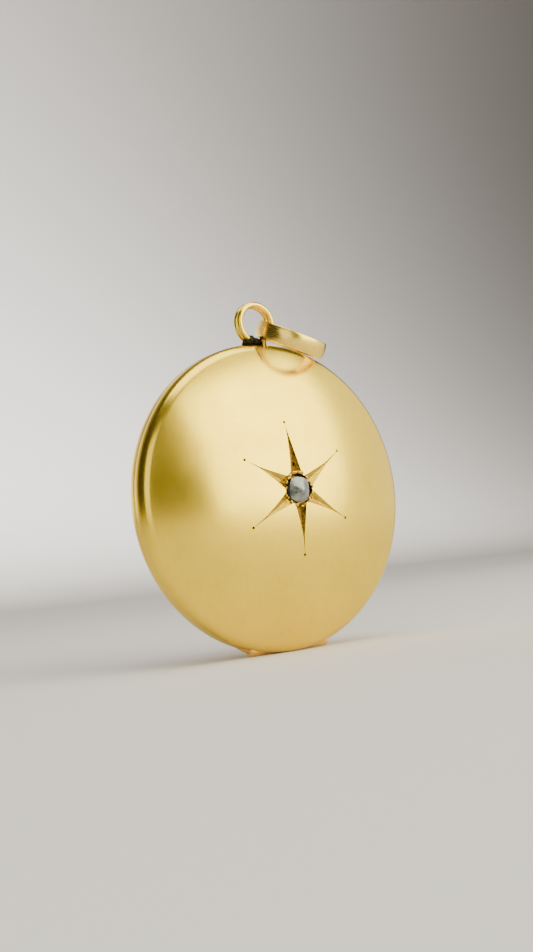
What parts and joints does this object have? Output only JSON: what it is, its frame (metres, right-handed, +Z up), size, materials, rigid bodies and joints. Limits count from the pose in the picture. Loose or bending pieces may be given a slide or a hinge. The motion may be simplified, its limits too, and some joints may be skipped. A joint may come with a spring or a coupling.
{
  "type": "hinged locket",
  "caption": "Round domed locket with a star-cut front cover that opens on a bottom hinge, a double-wire loop and a loose band bail.",
  "frame": {"origin": "centre of the pendant loop's eye, on the plane where the two halves meet", "axes": "+Z up from the case to the loop, -Y out of the star-cut front cover, +X to the right seen from the front"},
  "size_m": [0.026, 0.009, 0.0295],
  "materials": {
    "bloomed_gold": "satin",
    "inner_gold": "polished",
    "hinge_gold": "satin",
    "picture_glass": "clear",
    "picture_card": "matte",
    "foil": "bright",
    "rose_cut_stone": "faceted"
  },
  "bodies": {
    "rear_half": {"rear_cover": "bloomed_gold", "rear_bezel": "inner_gold", "rear_frame": "inner_gold", "rear_glass": "picture_glass", "rear_picture": "picture_card", "loop_wire_front": "bloomed_gold", "loop_wire_rear": "bloomed_gold", "loop_foot": "bloomed_gold", "hinge_knuckle_rear_left": "hinge_gold", "hinge_knuckle_rear_middle": "hinge_gold", "hinge_knuckle_rear_right": "hinge_gold", "hinge_pin": "hinge_gold"},
    "front_half": {"front_cover": "bloomed_gold", "front_bezel": "inner_gold", "front_frame": "inner_gold", "front_glass": "picture_glass", "front_picture": "picture_card", "setting_cup": "inner_gold", "foil": "foil", "diamond": "rose_cut_stone", "setting_grains": "bloomed_gold", "hinge_knuckle_front_left": "hinge_gold", "hinge_knuckle_front_right": "hinge_gold", "thumb_piece": "bloomed_gold"},
    "bail": {"bail": "bloomed_gold"}
  },
  "joints": [
    {"name": "cover_hinge", "type": "hinge", "parent": "rear_half", "child": "front_half", "pos_m": [0, 0, -0.02725], "axis": [1, 0, 0], "range_deg": [0, 105]},
    {"name": "bail_swing", "type": "hinge", "parent": "rear_half", "child": "bail", "pos_m": [0, 0, 0], "axis": [0, -1, 0], "range_deg": [0, 150]}
  ]
}
